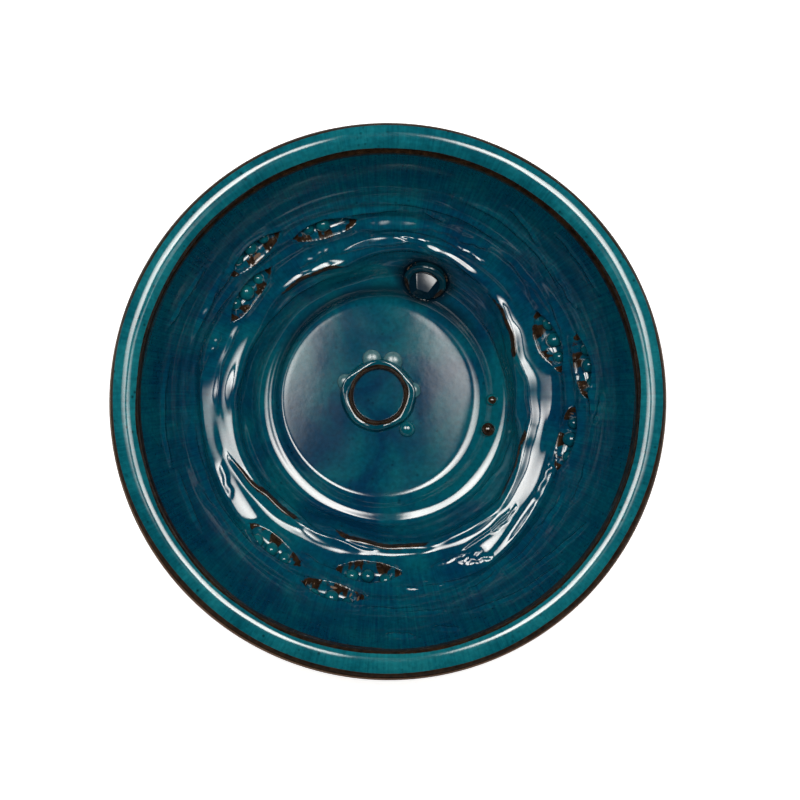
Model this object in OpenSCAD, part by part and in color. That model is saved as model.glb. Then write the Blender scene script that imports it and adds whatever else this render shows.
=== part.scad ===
// Glazed stoneware bird bath: a thrown bowl with a stepped well, a hand-made ring
// on its floor, three groups of gouged pockets filled with clay pellets, and an
// inclined drain tube that is closed by a lift-out stopper.
// Units are millimetres. +Z is up and the foot stands on z = 0.

/* [Bowl] */
// Outer diameter of the rim
rim_d = 300; // [288:2:312]
// Height from the ground to the top of the glazed rim
bowl_h = 110; // [106:1:116]
// Thickness of the thrown wall
wall_t = 9; // [8:0.5:10]
// Thickness of the floor slab
floor_t = 7; // [6:0.5:8]
// Thickness of the fired glaze
glaze_t = 0.8; // [0.6:0.1:1]

/* [Rim] */
// Width of the rolled rim
rim_w = 15; // [14:0.5:16]
// Rise of the crown of the rim above its two edges
crown_rise = 2.6; // [2:0.2:3]

/* [Well and ledge] */
// Diameter of the flat floor
floor_d = 109; // [106:1:111]
// Diameter of the shelf at the foot of the well's wall
shelf_d = 137; // [134:1:139]
// Height of the shelf above the floor
shelf_h = 7.6; // [7:0.2:8]
// Diameter of the well just above the shelf
well_d = 145; // [143:1:147]
// Diameter of the sharp ledge between well and upper wall
ledge_d = 166; // [162:1:170]
// Height of the ledge above the floor
ledge_h = 28; // [26:0.5:29]

/* [Foot] */
// Outer diameter of the turned foot ring
foot_d = 122; // [118:1:124]
// Width of the foot ring
foot_w = 9; // [8:0.5:10]
// Depth of the recess inside the foot ring
foot_h = 6; // [5.5:0.5:7]

/* [Throwing rings] */
// Distance between two throwing rings along the wall
throw_pitch = 13; // [11:0.5:15]
// Height of a throwing ring
throw_height = 1.1; // [0:0.1:1.4]

/* [Centre ring] */
// Inner diameter of the ring
ring_in_d = 29; // [28:0.5:30]
// Outer diameter of the ring at its base
ring_out_d = 44; // [43:0.5:46]
// Height of the ring above the glazed floor
ring_h = 4.6; // [4.2:0.2:5.6]
// Sideways position of the ring's centre
ring_x = -4.5; // [-6:0.5:0]
// Front-to-back position of the ring's centre
ring_y = 2.7; // [0:0.3:4.5]

/* [Pockets] */
// Length of a pocket along the wall
pocket_len = 38; // [34:1:40]
// Width of a pocket up the wall
pocket_w = 15; // [13:0.5:16]
// Depth of a pocket below the clay surface
pocket_depth = 7; // [6:0.5:7.5]
// How far the wall swells outwards behind a pocket
boss_rise = 5; // [4:0.5:6]
// Radius of a pellet in a pocket
pellet_r = 4.6; // [4:0.2:5]
// Distance between two pellets in a pocket
pellet_pitch = 9.5; // [9:0.5:10]

/* [Drain] */
// Compass angle of the drain, counted from +X
drain_angle = 72; // [60:1:84]
// Bore diameter of the drain tube
drain_d = 15; // [14:0.5:16]
// Wall thickness of the drain tube
drain_wall = 3.5; // [3:0.25:3.75]
// Length of the drain tube below its mouth
drain_len = 14; // [13:0.5:15]
// Gap between stopper and drain tube, on the radius
stopper_gap = 0.08; // [0.04:0.01:0.1]
// Diameter of the stopper's knob
knob_d = 17.5; // [16.5:0.5:18]

/* [Hidden] */
$fn = 96;
eps = 0.01;

clay = "#4a3024";
teal = "#0b5e6e";
teal_light = "#1590a0";
navy = "#10233c";
rubber = "#23272b";

rim_r = rim_d / 2;
floor_z = foot_h + floor_t;
rim_top = bowl_h - glaze_t;      // top of the clay under the glaze
foot_r = foot_d / 2;
curve_steps = 12;                // straight pieces in one curved stretch
wall_steps = 36;                 // straight pieces in the upper wall, which carries the rings

// Rim: the crown is an arc between two edges, and the roll is an arc of the outer side.
roll_r = 8;
roll_top_a = 35;
roll_low_a = -62;
roll_c = [rim_r - roll_r, rim_top - crown_rise - roll_r * sin(roll_top_a)];
rim_out = roll_c + roll_r * [cos(roll_top_a), sin(roll_top_a)];
rim_in = [rim_r - rim_w, rim_out[1]];
crown_half = (rim_out[0] - rim_in[0]) / 2;
crown_r = (crown_half * crown_half + crown_rise * crown_rise) / (2 * crown_rise);
crown_c = [rim_in[0] + crown_half, rim_top - crown_r];
crown_a = asin(crown_half / crown_r);

// Upper wall: a quadratic curve, shallow above the ledge and steep below the rim's inner edge.
ledge_p = [ledge_d / 2, floor_z + ledge_h];
wall_top = rim_in - [0.8, 1.8];
wall_ctrl = [(ledge_p[0] + wall_top[0]) / 2 + 5.4, ledge_p[1] + 0.14 * (wall_top[1] - ledge_p[1])];

// Well: a step from the floor up to a narrow shelf, then a straight wall to the ledge.
well_p = [well_d / 2, floor_z + shelf_h + 4.4];
shelf_p = [shelf_d / 2, floor_z + shelf_h];
floor_edge = [floor_d / 2, floor_z];
step_p = (floor_edge + shelf_p) / 2;
step_low = [step_p[0] - 2.5, floor_z];
step_high = [step_p[0] + 2.5, floor_z + shelf_h - 0.4];
shelf_ctrl = [well_p[0] - 1.2, shelf_p[1] + 0.5];

// Pockets: [place along the upper wall from 0 to 1, angle from its group, tilt].
group_angles = [10, 132, 254];
pockets = [[0.50, 0, 0], [0.345, -22, -6], [0.25, 10, 3]];
lens_r = (pow(pocket_len / 2, 2) + pow(pocket_depth, 2)) / (2 * pocket_depth);
boss_margin = 5;                 // clay left above and below a pocket

// Drain: the mouth is near the foot of the well, and the tube leads down and outwards.
drain_slope = 45;
mouth_p = [well_d / 2 - 1, floor_z + 13];
tube_r = drain_d / 2 + drain_wall;
lip_h = 2.4;
scoop_r = 16;
sleeve_t = 3;                    // clay that wraps the tube outside the bowl
knob_h = 7.5;
stem_r = 3;
plug_taper = 0.6;

// Pellets pressed on the glazed floor, as low domes: [distance, angle, radius, lift of the centre].
// The ring's are placed from the middle of the ring, and the floor's from the middle of the bowl.
ring_pellet_list = [[22.4, 100, 6, -2.6], [22.4, 67, 6.2, -2.6],
                    [20.8, 158, 5.4, -1.8], [20.4, 8, 5.2, -1.8]];
floor_pellet_list = [[20.6, -55, 5, -2.2], [60.5, -16, 3.8, 3.4], [60.5, 0, 2.8, 3.6]];

function bezier(a, b, c, t) = (1 - t) * (1 - t) * a + 2 * t * (1 - t) * b + t * t * c;
function slope(a, b, c, t) = 2 * (1 - t) * (b - a) + 2 * t * (c - b);
function unit(v) = v / norm(v);
function inward(v) = [-v[1], v[0]] / norm(v);
function arc(c, r, a0, a1, n) = [for (i = [0:n]) let(a = a0 + (a1 - a0) * i / n) c + r * [cos(a), sin(a)]];
function curve(a, b, c, n) = [for (i = [0:n]) bezier(a, b, c, i / n)];
function tail(list) = [for (i = [1:len(list) - 1]) list[i]];
function reverse(list) = [for (i = [len(list) - 1:-1:0]) list[i]];
function smooth(x) = let(k = max(0, min(1, x))) k * k * (3 - 2 * k);

// Throwing rings fade out towards the smooth band under the rim.
wall_length = norm(wall_top - ledge_p);
function ring_wave(t) = throw_height * sin(360 * t * wall_length / throw_pitch)
    * smooth(t * 8) * smooth((0.78 - t) * 5);
function wall_point(t, off = 0) = bezier(ledge_p, wall_ctrl, wall_top, t)
    + (ring_wave(t) + off) * inward(slope(ledge_p, wall_ctrl, wall_top, t));
function wall_normal(t) = inward(slope(ledge_p, wall_ctrl, wall_top, t));

// The inside of the bowl, from the middle of the floor to the rim, as points and as normals.
inner_step = concat(curve(floor_edge, step_low, step_p, curve_steps / 2),
                    tail(curve(step_p, step_high, shelf_p, curve_steps / 2)),
                    tail(curve(shelf_p, shelf_ctrl, well_p, curve_steps / 2)));
inner_wall = [for (i = [0:wall_steps]) wall_point(i / wall_steps)];
inner_line = concat([[0, floor_z]], inner_step, inner_wall);
inner_last = len(inner_line) - 1;
function line_normal(line, i) = inward(line[min(i + 1, len(line) - 1)] - line[max(i - 1, 0)]);
function glaze_depth(i) = glaze_t * smooth((inner_last - i) / 3);
glaze_line = [for (i = [0:inner_last]) i == 0 ? inner_line[0] + [0, glaze_t]
    : inner_line[i] + glaze_depth(i) * line_normal(inner_line, i)];

// The outside of the bowl, from under the rim down to the foot.
outer_top = bezier(ledge_p, wall_ctrl, wall_top, 0.93) - wall_t * wall_normal(0.93);
outer_low = ledge_p - wall_t * wall_normal(0);
outer_mid = bezier(ledge_p, wall_ctrl, wall_top, 0.45) - wall_t * wall_normal(0.45);
outer_ctrl = 2 * outer_mid - (outer_top + outer_low) / 2;
foot_root = [foot_r + 2, foot_h];
outer_wave = 0.5;
outer_wall = [for (i = [0:wall_steps]) let(t = i / wall_steps)
    bezier(outer_top, outer_ctrl, outer_low, t)
    + outer_wave * sin(360 * t * wall_length / throw_pitch) * smooth((1 - t) * 4)
        * inward(slope(outer_top, outer_ctrl, outer_low, t))];
outer_foot = curve(outer_low, [foot_r + 18, floor_z - 1], foot_root, curve_steps);
foot_round = 1.5;
foot_line = [[foot_r, foot_round], [foot_r - foot_round, 0], [foot_r - foot_w + foot_round, 0],
             [foot_r - foot_w, foot_round], [foot_r - foot_w - 1, foot_h], [0, foot_h]];

module clay_section() {
    polygon(concat(
        inner_line,
        reverse(arc(crown_c, crown_r, 90 - crown_a, 90 + crown_a, curve_steps)),
        arc(roll_c, roll_r, roll_top_a, roll_low_a, curve_steps),
        outer_wall, outer_foot, foot_line));
}

// Everything on the clay side of the glazed inner surface, as a cutting tool.
module below_glaze() {
    rotate_extrude() polygon(concat(glaze_line, [[rim_r + 20, bowl_h], [rim_r + 20, -10], [0, -10]]));
}

// Puts its children at a place on the upper wall: x along the wall, y up it, z into the bowl.
module on_wall(angle, t, tilt = 0) {
    n = wall_normal(t);
    rotate([0, 0, angle])
        translate([wall_point(t)[0], 0, wall_point(t)[1]])
            rotate([0, atan2(n[0], n[1]), 0])
                rotate([0, 0, 90 + tilt]) children();
}

// A lens that stands on edge: the part of it below z = 0 is a pointed oval pocket.
module pocket_lens(length, width, depth) {
    radius = (pow(length / 2, 2) + pow(depth, 2)) / (2 * depth);
    rise = radius - depth;
    // Sphere radius at which the lens is as wide as the pocket in the plane z = 0
    ball = sqrt(pow((radius * radius - rise * rise - width * width / 4) / width, 2) + radius * radius);
    shift = sqrt(ball * ball - radius * radius);
    translate([0, 0, rise]) intersection() {
        translate([0, shift, 0]) sphere(r = ball);
        translate([0, -shift, 0]) sphere(r = ball);
    }
}

module pocket_cutters() {
    for (a = group_angles, p = pockets)
        on_wall(a + p[1], p[0], p[2]) pocket_lens(pocket_len, pocket_w, pocket_depth);
}

// Puts its children at the drain's mouth with +Z along the way that the stopper lifts out.
module at_drain() {
    rotate([0, 0, drain_angle]) translate([mouth_p[0], 0, mouth_p[1]])
        rotate([0, -drain_slope, 0]) children();
}

module drain_cutters() {
    at_drain() translate([0, 0, -2 * drain_len]) cylinder(r = tube_r, h = 3 * drain_len);
    at_drain() translate([0, 0, scoop_r / 2]) sphere(r = scoop_r);
}

// Clay added on the outside only: a swell behind each pocket, and a sleeve round the tube.
module bosses() {
    difference() {
        union() {
            for (a = group_angles, p = pockets)
                on_wall(a + p[1], p[0], p[2])
                    pocket_lens(pocket_len + 4 * boss_margin, pocket_w + 2 * boss_margin,
                                wall_t + boss_rise);
            at_drain() translate([0, 0, 1 - drain_len]) cylinder(r = tube_r + sleeve_t, h = drain_len - 3);
        }
        rotate_extrude() polygon(concat(inner_line, [[wall_top[0], bowl_h + 50], [0, bowl_h + 50]]));
    }
}

module bowl_body() {
    color(clay) difference() {
        union() {
            rotate_extrude() clay_section();
            bosses();
        }
        pocket_cutters();
        drain_cutters();
    }
}

module inner_glaze() {
    color(teal) difference() {
        rotate_extrude() polygon(concat(inner_line, reverse(glaze_line)));
        pocket_cutters();
        drain_cutters();
    }
}

// The glaze on the crown of the rim thins to nothing at both edges.
module rim_glaze() {
    bare = 6;                    // degrees of bare clay at each edge of the crown
    n = 2 * curve_steps;
    arc_a = crown_a - bare;
    under = arc(crown_c, crown_r, 90 - arc_a, 90 + arc_a, n);
    over = [for (i = [0:n]) under[i] + glaze_t * sqrt(sin(180 * i / n)) * unit(under[i] - crown_c)];
    color(teal_light) rotate_extrude()
        polygon(concat(under, [for (i = [n - 1:-1:1]) over[i]]));
}

// A low coil: a straight bore, a rounded crest, and a domed outer flank.
module centre_ring() {
    in_r = ring_in_d / 2;
    out_r = ring_out_d / 2;
    top_r = 1.2;
    skirt = curve([out_r, 0], [out_r - 2, ring_h - 1.4], [in_r + 2.2 * top_r, ring_h - 0.3], curve_steps);
    color(teal) translate([ring_x, ring_y, floor_z + glaze_t]) rotate_extrude()
        polygon(concat([[in_r, 0]], skirt,
                       arc([in_r + top_r, ring_h - top_r], top_r, 60, 180, curve_steps)));
}

// Pellets flattened by the thumb: each is the part of a sphere that stands above the glaze.
module domes(list) {
    for (p = list)
        translate([p[0] * cos(p[1]), p[0] * sin(p[1]), floor_z + glaze_t + p[3]]) sphere(r = p[2]);
}

module ring_pellets() {
    color(teal) difference() {
        translate([ring_x, ring_y, 0]) domes(ring_pellet_list);
        below_glaze();
        centre_ring();
    }
}

module floor_pellets() {
    color(teal) difference() {
        domes(floor_pellet_list);
        below_glaze();
        centre_ring();
    }
}

// Three pellets lie in each pocket and are cut to the pocket's own walls.
module pocket_pellets(group, which) {
    p = pockets[which];
    color(teal_light) on_wall(group_angles[group] + p[1], p[0], p[2]) intersection() {
        pocket_lens(pocket_len, pocket_w, pocket_depth);
        for (i = [-1:1])
            translate([i * pellet_pitch, 0, -pocket_depth / 2 + abs(i)])
                rotate([0, 90, 0]) sphere(r = pellet_r);
    }
}

module drain_tube() {
    color(teal) at_drain() difference() {
        rotate_extrude() polygon(concat(
            [[drain_d / 2, -drain_len], [tube_r, -drain_len], [tube_r, 0]],
            arc([tube_r, lip_h - 1.2], 1.2, -60, 90, curve_steps),
            [[drain_d / 2 + 1, lip_h], [drain_d / 2, lip_h - 1]]));
    }
}

// The knob is stoneware, and its stem is pressed into the rubber plug.
module stopper_knob() {
    r = knob_d / 2;
    color(navy) at_drain() translate([0, 0, lip_h]) rotate_extrude() polygon(concat(
        [[0, -drain_len + 5], [stem_r, -drain_len + 5], [stem_r, 0], [r - 1.5, 0]],
        arc([r - 1.5, 1.5], 1.5, -80, 0, 6),
        curve([r, 1.5], [r, knob_h - 1], [r * 0.35, knob_h - 0.2], curve_steps),
        [[0, knob_h]]));
}

module stopper_plug() {
    r = drain_d / 2 - stopper_gap;
    bottom = -drain_len + 2;
    stem_end = -drain_len + 5 + lip_h;
    color(rubber) at_drain() rotate_extrude() polygon([
        [stem_r, lip_h - eps], [r, lip_h - 1 - eps], [r, 0], [r - plug_taper, bottom + 1],
        [r - plug_taper - 1, bottom], [0, bottom], [0, stem_end], [stem_r, stem_end]]);
}

bowl_body();
inner_glaze();
rim_glaze();
centre_ring();
ring_pellets();
floor_pellets();
pocket_pellets(0, 0);  // pellets_a_high
pocket_pellets(0, 1);  // pellets_a_mid
pocket_pellets(0, 2);  // pellets_a_low
pocket_pellets(1, 0);  // pellets_b_high
pocket_pellets(1, 1);  // pellets_b_mid
pocket_pellets(1, 2);  // pellets_b_low
pocket_pellets(2, 0);  // pellets_c_high
pocket_pellets(2, 1);  // pellets_c_mid
pocket_pellets(2, 2);  // pellets_c_low
drain_tube();
stopper_knob();
stopper_plug();
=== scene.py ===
"""A glazed stoneware bird bath, seen from above on a white table.

Lengths of the bowl are millimetres, those of lights and camera metres, and angles are degrees from +X.
A surface is a polar grid: rows follow the bowl's section, columns go round it.
"""
import math

import bmesh
import bpy
import numpy as np
from mathutils import Matrix, Vector


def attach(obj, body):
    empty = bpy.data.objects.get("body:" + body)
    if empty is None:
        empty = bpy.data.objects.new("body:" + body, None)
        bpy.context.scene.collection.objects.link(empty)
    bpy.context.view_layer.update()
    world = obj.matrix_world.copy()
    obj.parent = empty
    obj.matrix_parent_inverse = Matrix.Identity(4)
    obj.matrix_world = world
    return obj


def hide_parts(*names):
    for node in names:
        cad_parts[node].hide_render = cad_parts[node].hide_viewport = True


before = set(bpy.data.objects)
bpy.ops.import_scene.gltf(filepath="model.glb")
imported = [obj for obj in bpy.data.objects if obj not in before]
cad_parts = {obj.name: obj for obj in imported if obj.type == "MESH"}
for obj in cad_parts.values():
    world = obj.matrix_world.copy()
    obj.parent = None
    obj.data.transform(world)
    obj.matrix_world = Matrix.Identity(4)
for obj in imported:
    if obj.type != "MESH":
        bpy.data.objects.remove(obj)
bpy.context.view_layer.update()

MM = 0.001
TAU = 2 * math.pi
ANY_R = 999.0

# ---------------------------------------------------------------- section of the bowl
GLAZE = 0.8
FLOOR_Z = 13.0
RIM_TOP = 110.0 - GLAZE
ROLL_R, ROLL_TOP, ROLL_LOW = 8.0, 35.0, -62.0
CROWN_RISE = 2.6
ROLL_C = np.array([142.0, RIM_TOP - CROWN_RISE - ROLL_R * math.sin(math.radians(ROLL_TOP))])
EDGE_Z = RIM_TOP - CROWN_RISE
RIM_IN = np.array([135.0, EDGE_Z])
RIM_OUT = ROLL_C + ROLL_R * np.array([math.cos(math.radians(ROLL_TOP)), math.sin(math.radians(ROLL_TOP))])
LEDGE = np.array([83.0, FLOOR_Z + 28.0])
WALL_TOP = RIM_IN - [0.8, 1.8]
WALL_MID = np.array([(LEDGE[0] + WALL_TOP[0]) / 2 + 5.4, LEDGE[1] + 0.14 * (WALL_TOP[1] - LEDGE[1])])
WELL = np.array([72.5, FLOOR_Z + 12.0])
SHELF = np.array([68.5, FLOOR_Z + 7.6])
FLOOR_EDGE = np.array([54.5, FLOOR_Z])
STEP = (FLOOR_EDGE + SHELF) / 2
STEP_LOW, STEP_HIGH = np.array([STEP[0] - 2.5, FLOOR_Z]), np.array([STEP[0] + 2.5, SHELF[1] - 0.4])
SHELF_MID = np.array([WELL[0] - 1.2, SHELF[1] + 0.5])
FLOOR_OFFSET = (-5.5, 1.0)
FOOT_R, FOOT_W, FOOT_H = 61.0, 9.0, 6.0
WALL_T = 9.0

# Drain: mouth, way out and radii.
DRAIN_A, DRAIN_SLOPE = 72.0, 45.0
MOUTH = np.array([71.5, FLOOR_Z + 13.0])
TUBE_R, BORE_R, TUBE_LEN, LIP_H = 11.0, 7.5, 14.0, 2.4
SCOOP_R = 16.0

# Pockets: angle of each group, then [place along the wall, angle from the group, tilt].
GROUPS = {"a": 10.0, "b": 132.0, "c": 254.0}
POCKETS = {"high": (0.50, 0.0, 0.0), "mid": (0.345, -22.0, -6.0), "low": (0.25, 10.0, 3.0)}
POCKET_LEN, POCKET_DEPTH = 38.0, 6.4
SLIT_HALF = 6.3
PELLET_PITCH = 9.5

# Ring on the floor.
RING = np.array([-4.5, 2.7])
RING_IN, RING_OUT, RING_H = 14.5, 22.0, 4.6
# Lobes of the ring: angle and how far each stands out.
RING_LOBES = ((162, 2.6), (190, 1.2), (6, 2.4), (-34, 1.8), (100, 0.9), (67, 0.9), (228, 1.3), (262, 1.0))
LOBE_SPREAD = 21
# Pellets: distance and angle from the ring's or the bowl's middle, size, and height of the centre.
RING_PELLETS = ((21.2, 100, 5.3, 1.5), (21.2, 67, 5.6, 1.4), (20.4, 158, 4.6, 1.9), (20.2, 8, 4.4, 1.9))
FLOOR_PELLETS = ((20.6, -55, 4.6, 0.6), (60.5, -16, 4.5, 4.7), (60.5, 0, 3.4, 4.9))


def bezier(a, b, c, n):
    t = np.linspace(0, 1, n)[:, None]
    return (1 - t) ** 2 * a + 2 * t * (1 - t) * b + t * t * c


def arc(centre, radius, a0, a1, n):
    a = np.radians(np.linspace(a0, a1, n))
    return np.array(centre) + radius * np.stack([np.cos(a), np.sin(a)], 1)


def smooth(x):
    k = np.clip(x, 0, 1)
    return k * k * (3 - 2 * k)


def turn_angles(cols):
    return np.arange(cols) * 360.0 / cols


def wrap(deg):
    return (np.asarray(deg) + 180) % 360 - 180


class Section:
    """A section line resampled at given spacings, with its length and its normals."""

    def __init__(self, points, steps, round_mm=0.0):
        pts = np.array(points, float)
        run = np.concatenate([[0], np.cumsum(np.hypot(*np.diff(pts, axis=0).T))])
        keep = np.concatenate([[True], np.diff(run) > 1e-6])
        pts, run = pts[keep], run[keep]
        fine = np.arange(0, run[-1], 0.1)
        r, z = np.interp(fine, run, pts[:, 0]), np.interp(fine, run, pts[:, 1])
        if round_mm:
            w = int(round_mm * 30)
            kernel = np.exp(-0.5 * (np.arange(-w, w + 1) / (round_mm * 10)) ** 2)
            kernel /= kernel.sum()
            r = np.convolve(np.pad(r, w, mode="reflect", reflect_type="odd"), kernel, "valid")
            z = np.convolve(np.pad(z, w, mode="reflect", reflect_type="odd"), kernel, "valid")
        rows = [0.0]
        while rows[-1] < fine[-1] - 1e-6:
            here = np.interp(rows[-1], fine, r)
            step = next(s for limit, s in steps if here < limit)
            rows.append(min(rows[-1] + step, fine[-1]))
        self.s = np.array(rows)
        self.r, self.z = np.interp(rows, fine, r), np.interp(rows, fine, z)
        dr, dz = np.gradient(r, fine), np.gradient(z, fine)
        size = np.hypot(dr, dz)
        self.nr = np.interp(rows, fine, -dz / size)
        self.nz = np.interp(rows, fine, dr / size)
        self.fine_r, self.fine_z, self.fine_s = r, z, fine

    def s_at(self, radius):
        return np.interp(radius, self.fine_r, self.fine_s)


# The glazed inside, from the middle of the floor to the rim's inner edge.
INSIDE_LINE = np.concatenate([
    [[0.0, FLOOR_Z]], bezier(FLOOR_EDGE, STEP_LOW, STEP, 12), bezier(STEP, STEP_HIGH, SHELF, 12),
    bezier(SHELF, SHELF_MID, WELL, 12), bezier(LEDGE, WALL_MID, WALL_TOP, 120)])
INSIDE = Section(INSIDE_LINE, [(44, 1.6), (78, 0.7), (116, 0.6), (200, 1.2)], round_mm=1.0)
S_LEDGE = INSIDE.s_at(LEDGE[0])
WALL_LEN = INSIDE.s_at(WALL_TOP[0]) - S_LEDGE


def wall_radius(t):
    return bezier(LEDGE, WALL_MID, WALL_TOP, 201)[int(round(t * 200)), 0]


# ---------------------------------------------------------------- relief made by the potter's hands
def slow_noise(phi, s, seed, waves=14, around=9, along=0.05):
    """Smooth noise about -1..1 that closes on itself round the bowl."""
    rng = np.random.default_rng(seed)
    total = np.zeros(np.broadcast(phi, s).shape)
    for _ in range(waves):
        k = rng.integers(-around, around + 1)
        m = rng.uniform(-along, along)
        total = total + np.cos(np.radians(k * phi) + TAU * m * s + rng.uniform(0, TAU))
    return total / math.sqrt(waves) * 0.8


# Lips that the fingers left: start and end angle, radius at both ends, height, width
# above and below the lip, how far it bends, and how far the glaze has broken on it.
LIPS = [
    (14, 48, 76.5, 84.5, 1.3, 3.0, 0.9, 0.6, 0.85),
    (50, 82, 84.5, 88.8, 1.5, 3.0, 1.0, 0.8, 0.2),
    (74, 117, 91.0, 87.5, 1.3, 3.4, 0.9, -1.6, 0.3),
    (104, 139, 79.5, 85.5, 1.3, 2.6, 0.8, 0.8, 0.9),
    (112, 150, 77.0, 80.5, 0.7, 2.4, 0.9, 0.8, 0.0),
    (138, 186, 80.5, 89.5, 0.9, 4.0, 1.4, -1.2, 0.0),
    (196, 238, 94.0, 84.5, 1.7, 3.2, 0.9, -1.4, 1.0),
    (204, 262, 88.0, 81.0, 1.0, 3.2, 1.3, 1.2, 0.1),
    (214, 272, 83.0, 86.0, 1.0, 2.2, 0.9, -1.0, 0.0),
    (243, 291, 78.6, 85.6, 1.5, 2.8, 0.8, 0.4, 1.15),
    (286, 322, 84.0, 86.0, 0.9, 2.4, 0.9, 0.6, 0.0),
    (314, 353, 87.5, 80.5, 1.6, 3.4, 0.8, -0.8, 0.9),
    (305, 345, 76.5, 74.8, 0.8, 2.2, 0.8, 0.6, 0.1),
    (343, 384, 82.0, 77.0, 1.1, 3.4, 1.0, 0.8, 0.2),
    (28, 74, 113.5, 118.5, 0.9, 2.6, 1.2, 1.2, 0.0),
    (52, 96, 108.5, 110.0, 0.8, 2.4, 1.1, 0.9, 0.0),
    (92, 124, 106.5, 109.0, 0.7, 2.2, 1.0, -0.8, 0.0),
    (180, 234, 108.0, 110.0, 0.9, 2.8, 1.2, 1.0, 0.0),
    (295, 326, 110.5, 106.5, 0.7, 2.2, 0.9, 1.2, 0.0),
    (300, 352, 103.0, 97.5, 1.3, 4.0, 1.6, -2.6, 0.0),
    (74, 101, 101.0, 98.0, 1.2, 4.6, 1.6, -2.4, 0.0),
    (34, 53, 99.5, 104.0, 0.8, 3.0, 1.2, 1.0, 0.0),
    (158, 200, 101.0, 103.5, 1.1, 3.6, 1.4, 1.4, 0.0),
    (150, 186, 92.0, 94.5, 0.9, 3.0, 1.1, 0.8, 0.0),
    (45, 59, 119.0, 125.5, 1.5, 0.9, 1.5, 0.9, 0.0),
    (26, 47, 128.5, 129.0, 0.7, 0.7, 1.2, 0.2, 0.0),
    (143, 163, 124.0, 127.0, 1.5, 0.9, 1.5, -0.8, 0.0),
    (166, 199, 121.5, 124.0, 1.5, 0.9, 1.5, 1.0, 0.0),
    (197, 216, 122.0, 125.0, 1.5, 0.9, 1.5, -0.6, 0.0),
    (269, 277, 127.5, 129.0, 1.9, 1.2, 2.2, 0.0, 0.0),
    (281, 288, 126.0, 130.0, 1.9, 1.1, 2.0, 0.4, 0.0),
    (288, 320, 122.5, 129.5, 1.55, 0.9, 1.6, 1.0, 0.0),
    (309, 330, 122.0, 128.5, 1.55, 0.9, 1.8, -0.8, 0.0),
]


def small_marks(count, seed):
    """Short finger marks scattered between the ledge and the pockets, in the form of LIPS."""
    rng = np.random.default_rng(seed)
    marks = []
    for _ in range(count):
        start, length, radius = rng.uniform(0, 360), rng.uniform(8, 26), rng.uniform(91, 119)
        marks.append((start, start + length, radius, radius + rng.uniform(-4, 4), rng.uniform(0.6, 1.15),
                      rng.uniform(1.2, 2.3), rng.uniform(0.8, 1.3), rng.uniform(-1.5, 1.5), 0.0))
    return marks


LIPS += small_marks(40, 77)

# The ledge wanders round the bowl: angle and distance outside its mean radius.
LEDGE_WANDER = [
    (0, -3.0), (19, -6.0), (44, 1.5), (60, 2.5), (80, 4.0), (95, 1.0), (106, -3.0), (135, 2.5),
    (150, 1.0), (165, 3.0), (180, 4.0), (199, 4.5), (215, 4.0), (235, 1.5), (251, -4.0), (268, -1.0),
    (285, 2.3), (300, 3.0), (317, 4.5), (335, 1.0), (350, -2.5), (360, -3.0)]

# Treads above the ledge: start and end angle, inner and outer radius at both ends, slope.
TREADS = [
    (146, 244, 84.5, 103.0, 83.0, 100.5, 7.0),
    (280, 362, 85.5, 105.0, 81.5, 97.5, 7.5),
    (344, 398, 79.5, 92.0, 82.5, 94.0, 8.0),
    (66, 104, 95.5, 100.5, 94.5, 99.5, 7.0),
    (70, 120, 86.5, 91.5, 84.5, 89.5, 3.0),
]


def ledge_shift(phi, r):
    """How far a point near the ledge is moved outwards."""
    angles, shifts = np.array(LEDGE_WANDER, float).T
    fine = np.arange(0, 360, 1.0)
    table = np.interp(fine, angles, shifts)
    kernel = np.exp(-0.5 * (np.arange(-8, 9) / 3.0) ** 2)
    table = np.convolve(np.pad(table, 8, mode="wrap"), kernel / kernel.sum(), "valid")
    here = np.interp(np.asarray(phi) % 360, np.append(fine, 360), np.append(table, table[0]))
    return here * smooth((r - 66) / 14) * smooth((98 - r) / 12)


def floor_shift(r):
    """Share of the floor's own offset: the flat floor lies a little to one side of the bowl's middle."""
    return smooth((68 - r) / 18)


def lips(phi, s):
    """Height and glaze break of every lip at the given angles and lengths along the section."""
    height = np.zeros(np.broadcast(phi, s).shape)
    broken = np.zeros_like(height)
    for a0, a1, r0, r1, h, above, below, bend, brown in LIPS:
        t = (wrap(phi - (a0 + a1) / 2) + (a1 - a0) / 2) / (a1 - a0)
        inside = smooth(t * 4) * smooth((1 - t) * 4)
        tt = np.clip(t, 0, 1)
        wander = 0.35 * np.sin(tt * 17 + a0) + 0.12 * np.sin(tt * 23 + a1)
        line_r = r0 + (r1 - r0) * tt + bend * 4 * tt * (1 - tt)
        line = INSIDE.s_at(line_r - ledge_shift(phi, line_r)) + wander
        d = s - line
        shape = np.where(d > 0, np.exp(-(d / above) ** 2), np.exp(-(d / below) ** 2))
        height = height + h * shape * inside
        if brown:
            ragged = 0.9 + 0.2 * np.sin(phi * 1.9 + a0) * np.sin(phi * 0.77)
            broken = np.maximum(broken, 1.25 * brown * ragged * inside * np.exp(-((d + 0.4) / 1.7) ** 2))
    return height, broken


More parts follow.
